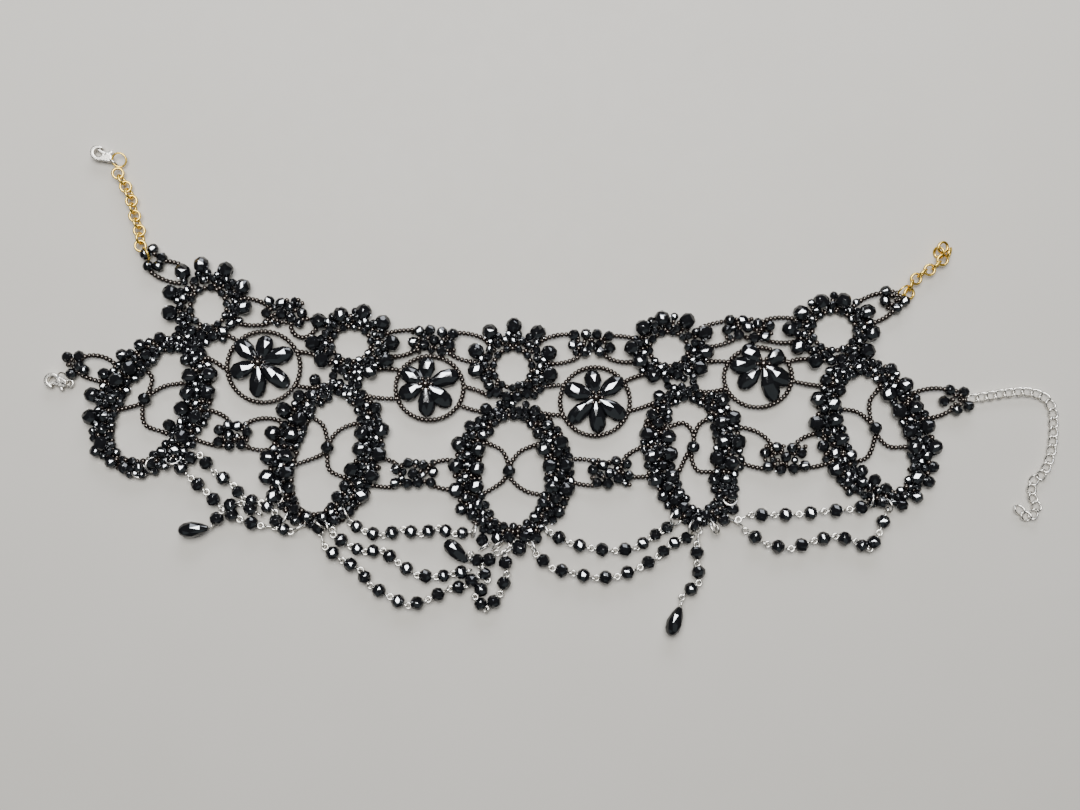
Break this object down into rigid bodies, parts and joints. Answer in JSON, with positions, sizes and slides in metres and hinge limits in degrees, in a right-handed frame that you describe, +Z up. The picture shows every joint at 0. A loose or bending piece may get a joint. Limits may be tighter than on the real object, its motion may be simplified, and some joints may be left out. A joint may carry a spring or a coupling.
{
  "type": "beaded choker",
  "caption": "Openwork collar woven from black cut glass beads, lying open and flat, with ovals, rosettes, beaded swags, drops, chains and sprung clasps.",
  "frame": {"origin": "middle of the collar's outline as it lies, on the surface under it", "axes": "+X along the collar towards its extender chain, +Y towards its neck edge, +Z up"},
  "size_m": [0.406, 0.1966, 0.0064],
  "materials": {
    "jet_glass": "cut and polished",
    "seed_glass": "glossy",
    "silver_plate": "polished",
    "gilt_plate": "polished"
  },
  "bodies": {
    "collar": {"crown_1": "jet_glass", "crown_2": "jet_glass", "crown_3": "jet_glass", "crown_4": "jet_glass", "crown_5": "jet_glass", "oval_1": "jet_glass", "oval_2": "jet_glass", "oval_3": "jet_glass", "oval_4": "jet_glass", "oval_5": "jet_glass", "upper_bridge_1": "jet_glass", "upper_bridge_2": "jet_glass", "upper_bridge_3": "jet_glass", "upper_bridge_4": "jet_glass", "lower_bridge_1": "jet_glass", "lower_bridge_2": "jet_glass", "lower_bridge_3": "jet_glass", "lower_bridge_4": "jet_glass", "rosette_1": "jet_glass", "rosette_2": "jet_glass", "rosette_3": "jet_glass", "rosette_4": "jet_glass", "swag_beads_1": "jet_glass", "swag_beads_2": "jet_glass", "swag_beads_3": "jet_glass", "swag_beads_4": "jet_glass", "end_cluster_upper_left": "jet_glass", "end_cluster_lower_left": "jet_glass", "end_cluster_upper_right": "jet_glass", "end_cluster_lower_right": "jet_glass", "drop_1": "jet_glass", "drop_2": "jet_glass", "drop_3": "jet_glass", "oval_lattice_1": "seed_glass", "oval_lattice_2": "seed_glass", "oval_lattice_3": "seed_glass", "oval_lattice_4": "seed_glass", "oval_lattice_5": "seed_glass", "bridge_loops_1": "seed_glass", "bridge_loops_2": "seed_glass", "bridge_loops_3": "seed_glass", "bridge_loops_4": "seed_glass", "rosette_ring_1": "seed_glass", "rosette_ring_2": "seed_glass", "rosette_ring_3": "seed_glass", "rosette_ring_4": "seed_glass", "end_loops_left": "seed_glass", "end_loops_right": "seed_glass", "swag_wires_1": "silver_plate", "swag_wires_2": "silver_plate", "swag_wires_3": "silver_plate", "swag_wires_4": "silver_plate", "extender_chain": "silver_plate", "clasp_ring": "silver_plate", "upper_clasp": "silver_plate", "lower_clasp": "silver_plate", "gold_chain_left": "gilt_plate", "gold_chain_right": "gilt_plate"},
    "upper_clasp_lever": {"upper_clasp_lever": "silver_plate"},
    "lower_clasp_lever": {"lower_clasp_lever": "silver_plate"}
  },
  "joints": [
    {"name": "upper_clasp_hinge", "type": "hinge", "parent": "collar", "child": "upper_clasp_lever", "pos_m": [-0.1775, 0.0936, 0.00175], "axis": [0, 0, -1], "range_deg": [-22, 0], "stiffness_Nm_per_rad": 0.01, "springref_deg": 5.73},
    {"name": "lower_clasp_hinge", "type": "hinge", "parent": "collar", "child": "lower_clasp_lever", "pos_m": [-0.196, 0.0027, 0.0016], "axis": [0, 0, 1], "range_deg": [-22, 0], "stiffness_Nm_per_rad": 0.01, "springref_deg": 5.73}
  ]
}
